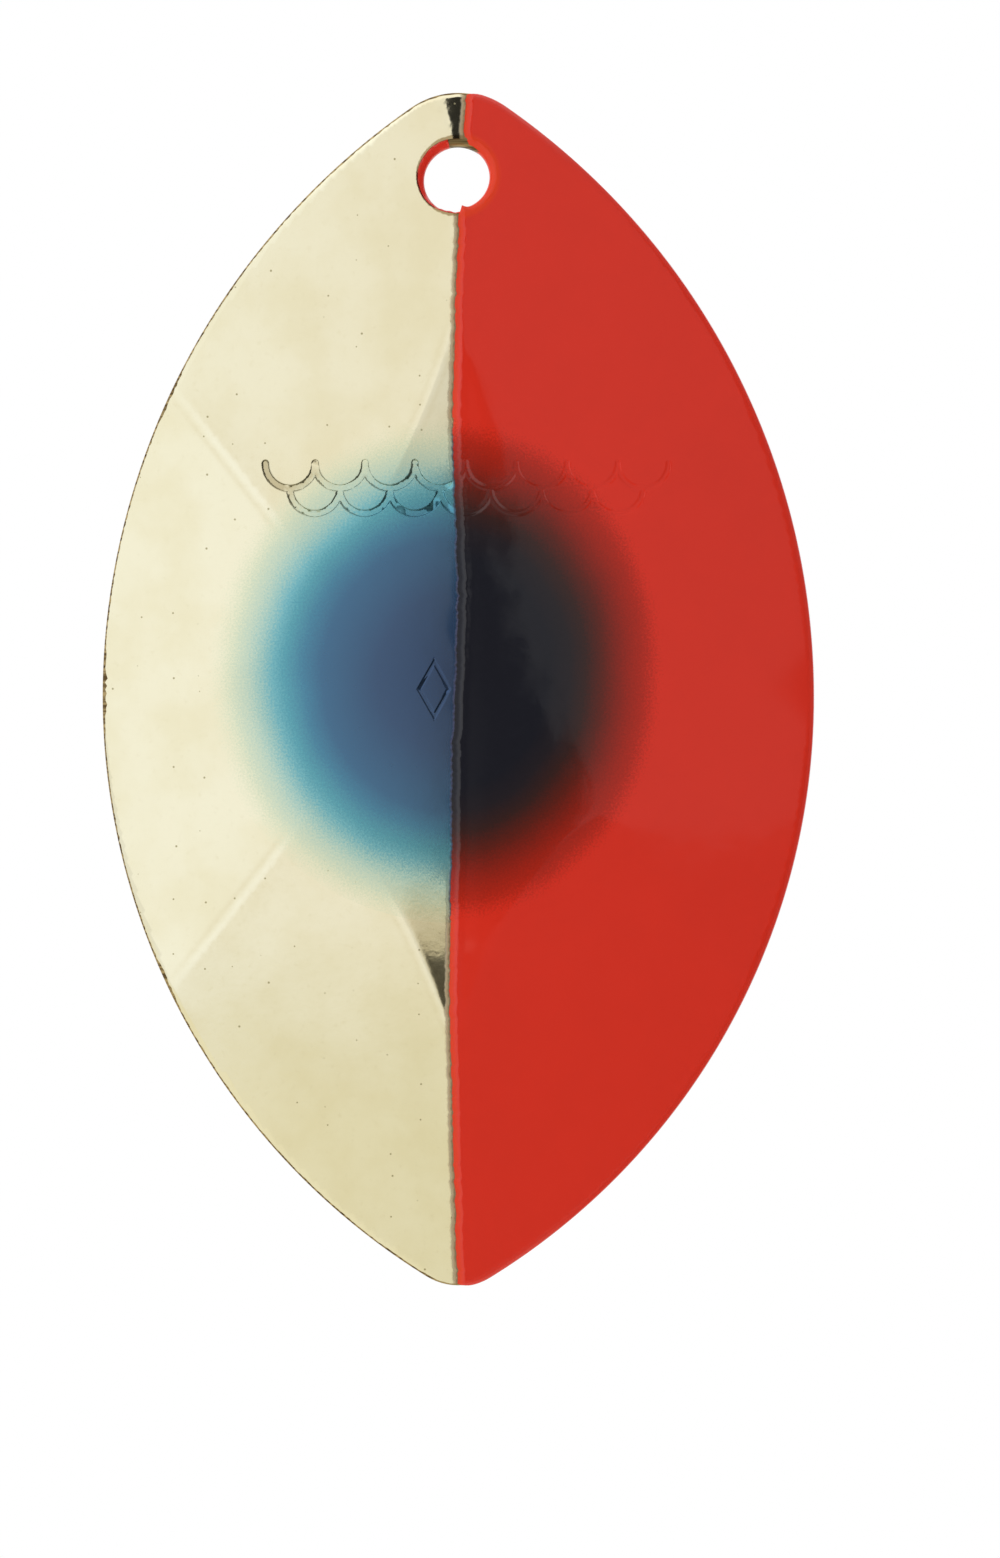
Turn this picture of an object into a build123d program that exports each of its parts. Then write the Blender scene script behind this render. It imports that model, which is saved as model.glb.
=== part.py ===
"""Stamped, faceted spinner blade for a spoon-type lure: a dished brass sheet with plated faces,
a red enamel half and a sprayed spot of translucent blue lacquer.

Millimetres. The blade hangs from its eye hole: the origin is the centre of that hole in the middle
of the sheet, +Z runs up along the blade, +X is the enamelled half, and the convex front faces -Y.
"""

from build123d import *

import math
import os

# --- blade outline, seen from the front -------------------------------------------------------
half_width = 19.05          # a 38.1 mm (1 1/2 in) wide blade
widest_below_eye = 27.7     # the widest line, below the eye hole
upper_side_radius = 38.5    # side arcs above and below the widest line
lower_side_radius = 36.5
upper_tip_radius = 4.4
lower_tip_radius = 3.2

# --- sheet and films --------------------------------------------------------------------------
sheet_thickness = 0.80
plating_thickness = 0.05
enamel_thickness = 0.12
lacquer_thickness = 0.05
enamel_edge_wrap = 0.50     # how far the enamel turns back over the cut edge

# --- eye hole ---------------------------------------------------------------------------------
eye_radius = 1.80
eye_rim_radius = 2.10       # mouth of the small countersink, and the bare ring in the films

# --- sprayed spot -----------------------------------------------------------------------------
spot_radius = 13.5          # out to the last of its overspray
spot_below_eye = 26.3

# --- the dish: a central panel ringed by eight facets, symmetric about its own centre ---------
# Heights are measured forward from the dish datum. Corners are (x, z) in the upper left quarter.
dish_below_eye = 27.2
crown_height = 4.20
crown_bend = (52.0, 130.0)      # radius of curvature of the central panel across and along
facet_bend = (130.0, 210.0)     # radius of curvature of the outer facets across and along
crown_top = (0.0, 18.3)
crown_shoulder = (-7.7, 6.7)
crown_side = (-14.4, 0.0)
rim_crease = (-15.0, 15.8)
rim_crease_height = 0.60

# --- working sizes of the tools that cut the dish -----------------------------------------------
dish_half_width = 23.0
dish_half_length = 36.0
tool_depth = 20.0


def sag(bend, x, z):
    """Drop of a doubly curved surface at (x, z) below its flat parent."""
    return x * x / (2 * bend[0]) + z * z / (2 * bend[1])


def crown_point(corner):
    """A corner of the central panel with its height."""
    x, z = corner
    return x, z, crown_height - sag(crown_bend, x, z)


def facet_through(first, second, third):
    """Height at the centre and slopes along x and z of the facet through three points."""
    flat = [(x, z, height + sag(facet_bend, x, z)) for x, z, height in (first, second, third)]
    (x1, z1, h1), (x2, z2, h2), (x3, z3, h3) = flat
    turn = (x2 - x1) * (z3 - z1) - (x3 - x1) * (z2 - z1)
    slope_x = ((h2 - h1) * (z3 - z1) - (h3 - h1) * (z2 - z1)) / turn
    slope_z = ((x2 - x1) * (h3 - h1) - (x3 - x1) * (h2 - h1)) / turn
    return h1 - slope_x * x1 - slope_z * z1, slope_x, slope_z


def surface_height(surface, x, z):
    """Height of one surface, given as (bend, centre height, slope_x, slope_z)."""
    bend, centre_height, slope_x, slope_z = surface
    return centre_height + slope_x * x + slope_z * z - sag(bend, x, z)


rim_point = (*rim_crease, rim_crease_height)
end_facet = facet_through(crown_point(crown_top), crown_point(crown_shoulder), rim_point)
side_facet = facet_through(crown_point(crown_shoulder), crown_point(crown_side), rim_point)
dish_surfaces = [(crown_bend, crown_height, 0.0, 0.0)]
for side in (1, -1):
    for end in (1, -1):
        for centre_height, slope_x, slope_z in (end_facet, side_facet):
            dish_surfaces.append((facet_bend, centre_height, side * slope_x, end * slope_z))

# the datum sits so that the middle of the sheet passes through the origin at the eye hole
eye_height = min(surface_height(surface, 0.0, dish_below_eye) for surface in dish_surfaces)
datum_y = eye_height - sheet_thickness / 2

# the eye is punched square to the sheet, which leans back there along the ridge between two facets
eye_slope = -end_facet[2] + dish_below_eye / facet_bend[1]
eye_lean = math.atan(eye_slope)
eye_plane = Plane(origin=(0, 0, 0), x_dir=(1, 0, 0), z_dir=(0, -math.cos(eye_lean), math.sin(eye_lean)))
eye_mouth = eye_plane.offset(sheet_thickness / 2 * math.cos(eye_lean))


def surface_patch(surface):
    """One dish surface as a Bezier patch over the whole dish, placed in the blade's frame."""
    bend, centre_height, slope_x, slope_z = surface
    span_x = (-dish_half_width, 0.0, dish_half_width)
    span_z = (-dish_half_length, 0.0, dish_half_length)
    ends_x = -dish_half_width**2 / (2 * bend[0])
    ends_z = -dish_half_length**2 / (2 * bend[1])
    drop_x = (ends_x, -ends_x, ends_x)      # control heights of a parabola through its crown
    drop_z = (ends_z, -ends_z, ends_z)
    rows = []
    for z, down_z in zip(span_z, drop_z):
        row = []
        for x, down_x in zip(span_x, drop_x):
            height = centre_height + slope_x * x + slope_z * z + down_x + down_z
            row.append(Vector(x, datum_y - height, z - dish_below_eye))
        rows.append(row)
    return Face.make_bezier_surface(rows)


def outline(growth=0.0):
    """The blade's pointed-oval outline, grown outward by a film's thickness."""
    width = half_width + growth
    with BuildSketch(Plane.XZ) as sketch:
        with BuildLine():
            ends = []
            for radius, turn in ((upper_side_radius, 1), (lower_side_radius, -1)):
                side_radius = radius + growth
                centre = (width - side_radius, -widest_below_eye)
                sweep_angle = math.degrees(math.acos((side_radius - width) / side_radius))
                arc = CenterArc(centre, side_radius, 0, turn * sweep_angle)
                ends.append(arc @ 1)
            Line(ends[0], ends[1])
        make_face()
        mirror(about=Plane.YZ)
        tips = sketch.vertices().filter_by(lambda tip: abs(tip.X) < 1e-6).sort_by(Axis.Y)
        fillet(tips[-1], radius=upper_tip_radius + growth)
        tips = sketch.vertices().filter_by(lambda tip: abs(tip.X) < 1e-6).sort_by(Axis.Y)
        fillet(tips[0], radius=lower_tip_radius + growth)
    return sketch.sketch


def spot():
    """Footprint of the sprayed spot."""
    with BuildSketch(Plane.XZ) as sketch:
        with Locations((0, -spot_below_eye)):
            Circle(spot_radius)
    return sketch.sketch


def right_of(footprint, start_x):
    """The part of a footprint on the enamelled side of a line at start_x."""
    with BuildSketch(Plane.XZ) as sketch:
        add(footprint)
        with Locations((start_x, 0)):
            Rectangle(4 * half_width, 8 * half_width, align=(Align.MIN, Align.CENTER),
                      mode=Mode.INTERSECT)
    return sketch.sketch


# --- the dish as one solid block behind the front of the bare sheet ----------------------------
with BuildPart() as dish:
    for number, surface in enumerate(dish_surfaces):
        extrude(surface_patch(surface), amount=tool_depth, dir=(0, 1, 0),
                mode=Mode.INTERSECT if number else Mode.ADD)


def layer(footprint, front, back):
    """Everything under a footprint between two copies of the dish, moved along +Y."""
    with BuildPart() as sheet:
        with BuildSketch(Plane.XZ):
            add(footprint)
        extrude(amount=tool_depth, both=True)
        with Locations((0, front, 0)):
            add(dish.part, mode=Mode.INTERSECT)
        with Locations((0, back, 0)):
            add(dish.part, mode=Mode.SUBTRACT)
    return sheet.part


plated_front = -plating_thickness
enamel_front = plated_front - enamel_thickness
lacquered_plating = plated_front - lacquer_thickness
lacquered_enamel = enamel_front - lacquer_thickness

# --- 1. stamped brass sheet --------------------------------------------------------------------
with BuildPart() as blade_blank:
    add(layer(outline(), 0.0, sheet_thickness))
    with Locations(eye_mouth):
        CounterSinkHole(eye_radius, eye_rim_radius, depth=2 * tool_depth, counter_sink_angle=90)

# --- 2. gold plating on the front ----------------------------------------------------------------
with BuildPart() as plating_front:
    add(layer(outline(), plated_front, 0.0))
    with Locations(eye_mouth):
        Hole(eye_rim_radius)

# --- 3. gold plating on the back -----------------------------------------------------------------
with BuildPart() as plating_back:
    add(layer(outline(), sheet_thickness, sheet_thickness + plating_thickness))
    with Locations(eye_mouth):
        Hole(eye_radius)

# --- 4. red enamel on the +X half, turned back over the cut edge ---------------------------------
with BuildPart() as red_enamel:
    add(layer(right_of(outline(enamel_thickness), 0.0), enamel_front, enamel_edge_wrap))
    add(layer(outline(), plated_front, sheet_thickness), mode=Mode.SUBTRACT)
    with Locations(eye_mouth):
        Hole(eye_rim_radius)

# --- 5. blue lacquer spot: on the plating at -X, over the enamel's edge and on the enamel at +X ---
with BuildPart() as spot_lacquer:
    add(layer(spot(), lacquered_plating, plated_front))
    add(layer(right_of(spot(), -lacquer_thickness), lacquered_enamel, plated_front))
    add(red_enamel.part, mode=Mode.SUBTRACT)

blade_blank.part.label = "blade_blank"
plating_front.part.label = "plating_front"
plating_back.part.label = "plating_back"
red_enamel.part.label = "red_enamel"
spot_lacquer.part.label = "spot_lacquer"

os.makedirs("parts", exist_ok=True)
export_step(blade_blank.part, "parts/blade_blank.step")
export_step(plating_front.part, "parts/plating_front.step")
export_step(plating_back.part, "parts/plating_back.step")
export_step(red_enamel.part, "parts/red_enamel.step")
export_step(spot_lacquer.part, "parts/spot_lacquer.step")
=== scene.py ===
"""Looks of the spinner blade: plated and enamelled faces, sprayed spot, studio and camera.

Shapes are worked out in millimetres in the CAD frame (x towards the enamel, y towards the back,
z up, origin in the eye hole) and become metres when their meshes are written.
"""

import functools
import math
import random

import bpy
import numpy as np
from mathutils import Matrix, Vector
from mathutils.geometry import delaunay_2d_cdt


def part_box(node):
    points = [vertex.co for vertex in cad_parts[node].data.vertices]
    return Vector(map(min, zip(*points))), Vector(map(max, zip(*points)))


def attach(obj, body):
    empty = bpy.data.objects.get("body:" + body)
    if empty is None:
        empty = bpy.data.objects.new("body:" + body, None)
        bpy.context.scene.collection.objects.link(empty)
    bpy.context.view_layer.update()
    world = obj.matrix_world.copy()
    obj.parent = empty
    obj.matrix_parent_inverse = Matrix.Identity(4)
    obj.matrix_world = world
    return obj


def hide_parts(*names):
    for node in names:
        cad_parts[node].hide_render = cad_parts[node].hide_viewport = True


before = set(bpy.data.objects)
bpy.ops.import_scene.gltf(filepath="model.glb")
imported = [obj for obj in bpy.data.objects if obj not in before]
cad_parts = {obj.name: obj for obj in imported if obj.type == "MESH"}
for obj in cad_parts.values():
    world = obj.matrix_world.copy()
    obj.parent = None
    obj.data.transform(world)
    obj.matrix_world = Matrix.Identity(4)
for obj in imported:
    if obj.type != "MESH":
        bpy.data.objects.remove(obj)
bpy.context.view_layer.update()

MM = 0.001
SEED = 5

# --- driving sizes, as in the CAD model (mm) ---
blank_low, blank_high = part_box("blade_blank")
half_width = blank_high.x / MM
widest_below_eye = 27.7
upper_side_radius = 38.5
lower_side_radius = 36.5
upper_tip_radius = 4.4
lower_tip_radius = 3.2
sheet_thickness = 0.80
plating_thickness = 0.05

dish_below_eye = 27.2
crown_height = 4.20
crown_bend = (52.0, 130.0)
facet_bend = (130.0, 210.0)
crown_top = (0.0, 18.3)
crown_shoulder = (-7.7, 6.7)
crown_side = (-14.4, 0.0)
rim_crease = (-15.0, 15.8)
rim_crease_height = 0.60
crease_softness = 0.016     # how softly two facets meet
crease_rise = 0.10          # how far two facets part for each mm from their crease
crease_fade = 0.8           # how far a crease's mark runs on past its ends
crease_hollow = 0.42        # from a crease to the hollow beside it
ridge_lift = 0.45           # keeps a rounded ridge at the height of a sharp one
ridge_reach = 5.0

# --- details of the real surfaces (mm) ---
rim_roll_width = 0.26       # the front edge rolls over where the blank was sheared
rim_roll_depth = 0.10
mouth_roll_width = 0.14
mouth_roll_depth = 0.010
back_roll_width = 0.14
back_roll_depth = 0.05
stamping_slope = 0.0035     # root-mean-square slopes of the unevenness left by stamping and polishing
polish_slope = 0.0016
back_slope = 0.004
tip_slope = 0.014
tip_start = 2.3             # the plating is uneven between the eye hole and the tip above it
plating_inset = 0.09        # bare brass shows outside the plating
back_plating_inset = 0.05
eye_radius = 1.92
eye_mouth_radius = 2.12
eye_mouth_drag = 0.15       # the punch dragged the mouth's top edge
enamel_full = 0.10
enamel_edge = 0.014
enamel_ramp = 0.42          # how far in from its edge the enamel reaches its full thickness
bead_height = 0.012
bead_width = 0.22
spot_radius = 13.5
spot_below_eye = 26.3
spot_lift = 0.008
spot_recess = 0.016

# --- engraved scale pattern and size mark ---
scale_radius = 1.35
scale_rows = ((-10.2, -15.2, 8), (-10.2 + scale_radius, -15.2 - scale_radius, 7))
scale_stroke = 0.20         # half the width of an engraved line
scale_wall = 0.07
scale_depth = 0.09
lozenge_centre = (-1.05, -27.3)
lozenge_half = (0.80, 1.45)
lozenge_stroke = 0.12
below_scales = -22.0        # what is engraved lower than this is the lozenge
lozenge_share = 0.34        # its depth against the scales'

# --- paint line down the middle: (z, x) ---
paint_line = ((5.2, 0.45), (2.2, 0.35), (-2.0, 0.10), (-7.0, 0.02), (-12.0, -0.10), (-22.5, 0.22),
              (-33.0, -0.10), (-44.0, -0.27), (-57.0, -0.08), (-60.0, 0.05))


# === the dish ===
def smoothstep(low, high, value):
    """0 below low, 1 above high, smooth between."""
    t = np.clip((value - low) / (high - low), 0.0, 1.0)
    return t * t * (3 - 2 * t)


def hill(value, middle, width):
    """1 at middle, falling to 0 on both sides of it in a bell curve."""
    return np.exp(-((value - middle) / width) ** 2)


def sag(bend, x, z):
    """Drop of a doubly curved surface at (x, z) below its flat parent."""
    return x * x / (2 * bend[0]) + z * z / (2 * bend[1])


def crown_point(corner):
    """A corner of the central panel with its height."""
    x, z = corner
    return x, z, crown_height - sag(crown_bend, x, z)


def facet_through(first, second, third):
    """Height at the centre and slopes along x and z of the facet through three points."""
    flat = np.array([(1.0, x, z) for x, z, height in (first, second, third)])
    level = [height + sag(facet_bend, x, z) for x, z, height in (first, second, third)]
    return np.linalg.solve(flat, level)


rim_point = (*rim_crease, rim_crease_height)
end_facet = facet_through(crown_point(crown_top), crown_point(crown_shoulder), rim_point)
side_facet = facet_through(crown_point(crown_shoulder), crown_point(crown_side), rim_point)


def ridge_softness(z, end):
    """How broadly the ridge at an end is rounded, z from the dish centre, end 1 at the eye."""
    if end > 0:
        return 0.16 + 1.09 * smoothstep(28.0, 32.6, z)
    return 0.30 + 0.27 * smoothstep(8.0, 22.0, -z)


def surface_heights(x, z):
    """Heights of the central panel, side facets and end facets above the datum, z from the dish centre."""
    found = [crown_height - sag(crown_bend, x, z)]
    for end in (1, -1):
        centre, slope_x, slope_z = end_facet
        ridge = np.sqrt(x * x + ridge_softness(z, end) ** 2) - ridge_lift * hill(x, 0.0, ridge_reach)
        found.append(centre - abs(slope_x) * ridge + end * slope_z * z - sag(facet_bend, x, z))
        centre, slope_x, slope_z = side_facet
        for side in (1, -1):
            found.append(centre + side * slope_x * x + end * slope_z * z - sag(facet_bend, x, z))
    return np.array(found)


def dish_height(x, z):
    """Height of the faceted dish with its creases softened."""
    heights = surface_heights(x, z + dish_below_eye)
    low = heights.min(axis=0)
    return low - crease_softness * np.log(np.exp((low - heights) / crease_softness).sum(axis=0))


def crease_distance(x, z):
    """Rough distance to the nearest crease."""
    heights = surface_heights(x, z + dish_below_eye)
    heights.sort(axis=0)
    return (heights[1] - heights[0]) / crease_rise


def segment_side(x, z, start, end):
    """Distance from the line from start to end, its sign giving the side, and the place along it."""
    length = math.hypot(end[0] - start[0], end[1] - start[1])
    way_x, way_z = (end[0] - start[0]) / length, (end[1] - start[1]) / length
    along = (x - start[0]) * way_x + (z - start[1]) * way_z
    across = (x - start[0]) * way_z - (z - start[1]) * way_x
    past = np.maximum(np.maximum(-along, along - length), 0.0)
    return across, along / length, past


def outer_crease(x, z):
    """Signed distance from the crease between end and side facets, and its strength along the way."""
    across_z = z + dish_below_eye
    across, share, past = segment_side(np.abs(x), np.abs(across_z), (-crown_shoulder[0], crown_shoulder[1]),
                                       (-rim_crease[0], rim_crease[1]))
    strength = hill(past, 0.0, crease_fade) * smoothstep(-0.1, 0.25, share)
    return across, strength * (1 - 0.8 * smoothstep(0.7, 1.1, share))


def crown_crease(x, z):
    """Signed distance from the crease between the central panel and an end facet, and its strength."""
    shoulder = (-crown_shoulder[0], crown_shoulder[1])
    _, _, past = segment_side(np.abs(x), np.abs(z + dish_below_eye), crown_top, shoulder)
    heights = surface_heights(x, z + dish_below_eye)
    end = np.minimum(heights[1], heights[4])
    return (end - heights[0]) / crease_rise, hill(past, 0.0, crease_fade)


def crease_relief(x, z):
    """The die's own mark along a crease: a fine raised line beside a shallow hollow."""
    across, strength = outer_crease(x, z)
    relief = strength * (0.0020 * hill(across, 0.0, 0.16) - 0.0015 * hill(across, crease_hollow, 0.22))
    across, strength = crown_crease(x, z)
    return relief + strength * 0.0015 * hill(across, 0.0, 0.20)


eye_slope = -end_facet[2] + dish_below_eye / facet_bend[1]
eye_lean = math.atan(eye_slope)
eye_height = end_facet[0] + end_facet[2] * dish_below_eye - sag(facet_bend, 0.0, dish_below_eye)
datum_y = eye_height - sheet_thickness / 2


# === small helpers ===
def plane_waves(seed, count, shortest, longest):
    """A fixed set of gentle ripples, each (kx, kz, phase, height for unit slope)."""
    rng = random.Random(seed)
    waves = []
    for _ in range(count):
        length = shortest * (longest / shortest) ** rng.random()
        angle = rng.uniform(0, math.pi)
        number = 2 * math.pi / length
        waves.append((number * math.cos(angle), number * math.sin(angle), rng.uniform(0, 2 * math.pi),
                      math.sqrt(2 / count) / number))
    return waves


def ripple(waves, slope, x, z):
    """Height of the ripples for a root-mean-square slope."""
    total = 0.0
    for kx, kz, phase, unit in waves:
        total = total + unit * np.sin(kx * x + kz * z + phase)
    return slope * total


stamping_waves = plane_waves(SEED, 26, 4.0, 11.0)
polish_waves = plane_waves(SEED + 1, 30, 0.9, 2.6)
ragged_waves = plane_waves(SEED + 2, 18, 0.25, 0.9)
wobble_waves = plane_waves(SEED + 3, 10, 2.0, 6.0)


def drawn_line(z):
    """Where the enamel starts, at a height z, worked out in full."""
    knots = sorted(paint_line)
    heights = np.array([knot[0] for knot in knots])
    places = np.array([knot[1] for knot in knots])
    index = np.clip(np.searchsorted(heights, z) - 1, 0, len(knots) - 2)
    t = np.clip((z - heights[index]) / (heights[index + 1] - heights[index]), 0, 1)
    wander = places[index] + (places[index + 1] - places[index]) * t * t * (3 - 2 * t)
    return wander + ripple(ragged_waves, 0.30, z, 0.0) + ripple(wobble_waves, 0.02, z, 0.0)


line_heights = np.arange(paint_line[-1][0], paint_line[0][0], 0.01)
line_places = drawn_line(line_heights)


def line_x(z):
    """Where the enamel starts, at a height z."""
    return np.interp(z, line_heights, line_places)


# === the outline ===
def tip_height(side_radius, tip_radius):
    """Height of a tip rounding's centre above or below the widest line."""
    return math.sqrt((side_radius - tip_radius) ** 2 - (side_radius - half_width) ** 2)


ends = {1: (upper_side_radius, upper_tip_radius), -1: (lower_side_radius, lower_tip_radius)}


def rim_distance(x, z):
    """How far a point lies inside the outline."""
    above = z + widest_below_eye
    result = np.zeros_like(x)
    for end, (side_radius, tip_radius) in ends.items():
        reach = tip_height(side_radius, tip_radius)
        turn = math.atan2(reach, side_radius - half_width)
        across = np.abs(x) - (half_width - side_radius)
        along = np.abs(above)
        side = side_radius - np.hypot(across, along)
        tip = tip_radius - np.hypot(x, along - reach)
        distance = np.where(np.arctan2(along, across) > turn, tip, side)
        result = np.where(above * end >= 0, distance, result)
    return result


def outline(growth, spacing):
    """Points of the outline and their outward directions, counterclockwise from the bottom tip."""
    lower = math.atan2(tip_height(*ends[-1]), lower_side_radius - half_width)
    upper = math.atan2(tip_height(*ends[1]), upper_side_radius - half_width)
    arcs = (((0, -widest_below_eye - tip_height(*ends[-1])), lower_tip_radius, -math.pi / 2, -lower),
            ((half_width - lower_side_radius, -widest_below_eye), lower_side_radius, -lower, 0),
            ((half_width - upper_side_radius, -widest_below_eye), upper_side_radius, 0, upper),
            ((0, -widest_below_eye + tip_height(*ends[1])), upper_tip_radius, upper, math.pi / 2))
    points = []
    outward = []
    for (centre_x, centre_z), radius, start, stop in arcs:
        steps = max(6, round(radius * (stop - start) / spacing))
        for step in range(steps):
            angle = start + (stop - start) * step / steps
            way = (math.cos(angle), math.sin(angle))
            outward.append(way)
            points.append((centre_x + (radius + growth) * way[0], centre_z + (radius + growth) * way[1]))
    top = -widest_below_eye + tip_height(*ends[1]) + upper_tip_radius + growth
    points.append((0.0, top))
    outward.append((0.0, 1.0))
    left = [(-x, z) for x, z in points[-2:0:-1]]
    left_outward = [(-x, z) for x, z in outward[-2:0:-1]]
    return np.array(points + left), np.array(outward + left_outward)


# === the front surfaces ===
eye_mouth_z = sheet_thickness / 2 * math.tan(eye_lean)


def eye_distance(x, z):
    """Distance from the eye hole's axis in the plane of its mouth."""
    return np.hypot(x, z - eye_mouth_z)


def mouth_radius(angle):
    """Radius of the eye hole's front edge at an angle up from +x."""
    return eye_mouth_radius + eye_mouth_drag * np.sin(angle)


def mouth_gap(x, z):
    """Distance outside the eye hole's front edge."""
    return eye_distance(x, z) - mouth_radius(np.arctan2(z - eye_mouth_z, x))


def arc_distance(x, z, start_x, centre_z, count, radius):
    """Distance to a row of hanging half circles."""
    pitch = 2 * radius
    number = np.clip(np.floor((x - start_x) / pitch), 0, count - 1)
    across = x - start_x - (number + 0.5) * pitch
    down = z - centre_z
    arc = np.abs(np.hypot(across, down) - radius)
    cusp = np.hypot(np.abs(across) - radius, down)
    return np.where(down <= 0, arc, cusp)


def engraving_distance(x, z):
    """Distance to the nearest engraved line, measured from its centre, in stroke widths of the scales."""
    found = np.full_like(x, 99.0)
    for start_x, centre_z, count in scale_rows:
        found = np.minimum(found, arc_distance(x, z, start_x, centre_z, count, scale_radius))
    across = np.abs(x - lozenge_centre[0]) / lozenge_half[0]
    along = np.abs(z - lozenge_centre[1]) / lozenge_half[1]
    steep = math.hypot(1 / lozenge_half[0], 1 / lozenge_half[1])
    lozenge = np.abs(across + along - 1) / steep + (scale_stroke - lozenge_stroke)
    return np.minimum(found, lozenge)


def groove(x, z, stroke, wall):
    """1 on the floor of an engraved line, 0 outside it."""
    return 1 - smoothstep(stroke - wall, stroke, engraving_distance(x, z))


def rolled(distance, width, depth):
    """How far a face has rolled over at a distance from its edge."""
    return depth * np.clip(1 - distance / width, 0, 1.3) ** 2


def plated_front(x, z, engraved=1.0, wall=scale_wall):
    """y of the plated front of the sheet."""
    y = datum_y - dish_height(x, z) - plating_thickness
    y = y + rolled(rim_distance(x, z), rim_roll_width, rim_roll_depth)
    y = y + rolled(mouth_gap(x, z), mouth_roll_width, mouth_roll_depth)
    y = y - crease_relief(x, z)
    y = y + ripple(ragged_waves, tip_slope, x, z) * smoothstep(tip_start, tip_start + 0.4, z) * (x < 0.6)
    y = y + ripple(stamping_waves, stamping_slope, x, z) + ripple(polish_waves, polish_slope, x, z)
    clear_of_line = smoothstep(0.05, 0.40, np.abs(x - line_x(z)))
    depth = scale_depth * np.where(z < below_scales, lozenge_share, 1.0)
    return y + engraved * depth * clear_of_line * groove(x, z, scale_stroke, wall)


def enamel_thickness(x, z):
    """Thickness of the enamel: a thin lip at the paint line, a soft bead, then an even film."""
    inside = x - line_x(z)
    rise = smoothstep(0.0, enamel_ramp, inside)
    bead = bead_height * hill(inside, enamel_ramp, bead_width)
    return enamel_edge + (enamel_full - enamel_edge) * rise + bead * rise


def spot_distance(x, z):
    """Distance from the middle of the sprayed spot."""
    return np.hypot(x, z + spot_below_eye)


def under_spot(x, z):
    """How far a surface is let down under the spot's film."""
    return spot_recess * smoothstep(0.1, 0.6, spot_radius - spot_distance(x, z))


def gold_top(x, z):
    """y of the plating, let down under the spot."""
    return plated_front(x, z) + under_spot(x, z)


def enamel_surface(x, z):
    """y of the enamel's face before the spot is sprayed."""
    return plated_front(x, z, engraved=0.30, wall=0.16) - enamel_thickness(x, z)


def enamel_top(x, z):
    """y of the enamel, let down under the spot."""
    return enamel_surface(x, z) + under_spot(x, z)


def spot_top(x, z):
    """y of the sprayed film."""
    over_enamel = x > line_x(z)
    return np.where(over_enamel, enamel_surface(x, z), plated_front(x, z)) - spot_lift


def spot_bottom(x, z):
    """y of the sprayed film's underside."""
    over_enamel = x > line_x(z)
    return np.where(over_enamel, enamel_top(x, z), gold_top(x, z))


def blank_front(x, z):
    """y of the bare sheet under the plating."""
    return plated_front(x, z) + plating_thickness


def sheet_back(x, z):
    """y of the bare sheet's back."""
    roll = rolled(rim_distance(x, z), back_roll_width, back_roll_depth)
    return datum_y - dish_height(x, z) + sheet_thickness - roll


def plated_back(x, z):
    """y of the plating on the back."""
    return sheet_back(x, z) + plating_thickness + ripple(stamping_waves, back_slope, x, z)


# === meshes ===
ENGRAVED_SPACING = 0.055
ENGRAVED_REACH = 0.27       # how far to each side of an engraved line the points lie that close
SPACINGS = {"fine": (0.46, 0.25, 0.20, 0.18, 0.15, 0.10, 0.09, ENGRAVED_SPACING), "plain": (0.46, 0.25, 0.15)}


def wanted_spacing(x, z, part):
    """How close together points should lie on the surface around (x, z)."""
    crease = crease_distance(x, z)
    rules = [(crease < 1.4, 0.25), (crease < 0.6, 0.15), (rim_distance(x, z) < 1.2, 0.25),
             (eye_distance(x, z) < 3.4, 0.18), (mouth_gap(x, z) < 0.5, 0.10), (z > tip_start, 0.15)]
    if part == "fine":
        engraved = engraving_distance(x, z)
        beside = np.abs(x - line_x(z))
        rules += [(engraved < 0.55, 0.15), (engraved < ENGRAVED_REACH, ENGRAVED_SPACING),
                  (beside < 1.1, 0.20), (beside < 0.6, 0.09)]
    spacing = np.full_like(x, 0.46)
    for where, closest in rules:
        spacing = np.where(where, np.minimum(spacing, closest), spacing)
    return spacing


def hexagon_points(spacing):
    """A lattice of evenly spaced points over the whole blade."""
    row_height = spacing * math.sqrt(3) / 2
    columns = np.arange(-half_width, half_width, spacing)
    rows = np.arange(blank_low.z / MM, blank_high.z / MM, row_height)
    x, z = np.meshgrid(columns, rows)
    x = x + np.where(np.arange(len(rows)) % 2, spacing / 2, 0.0)[:, None]
    x, z = x.ravel(), z.ravel()
    kept = rim_distance(x, z) > 0
    if spacing <= ENGRAVED_SPACING:
        kept &= engraving_distance(x, z) < ENGRAVED_REACH
    return x[kept], z[kept]


@functools.cache
def lattice_levels(part):
    """The points of a varying lattice over the whole blade, one (spacing, x, z) for each spacing."""
    levels = SPACINGS[part]
    kept = []
    for number, spacing in enumerate(levels):
        x, z = hexagon_points(spacing)
        wish = wanted_spacing(x, z, part)
        finer = levels[number + 1] if number + 1 < len(levels) else 0.0
        here = (wish <= spacing + 1e-6) & (wish > finer + 1e-6)
        kept.append((spacing, x[here], z[here]))
    return kept


def lattice(part, allowed):
    """Points of a varying lattice where allowed(x, z, margin) holds."""
    kept = []
    for spacing, x, z in lattice_levels(part):
        here = allowed(x, z, 0.55 * spacing)
        kept.append(np.c_[x[here], z[here]])
    return np.vstack(kept)


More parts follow.
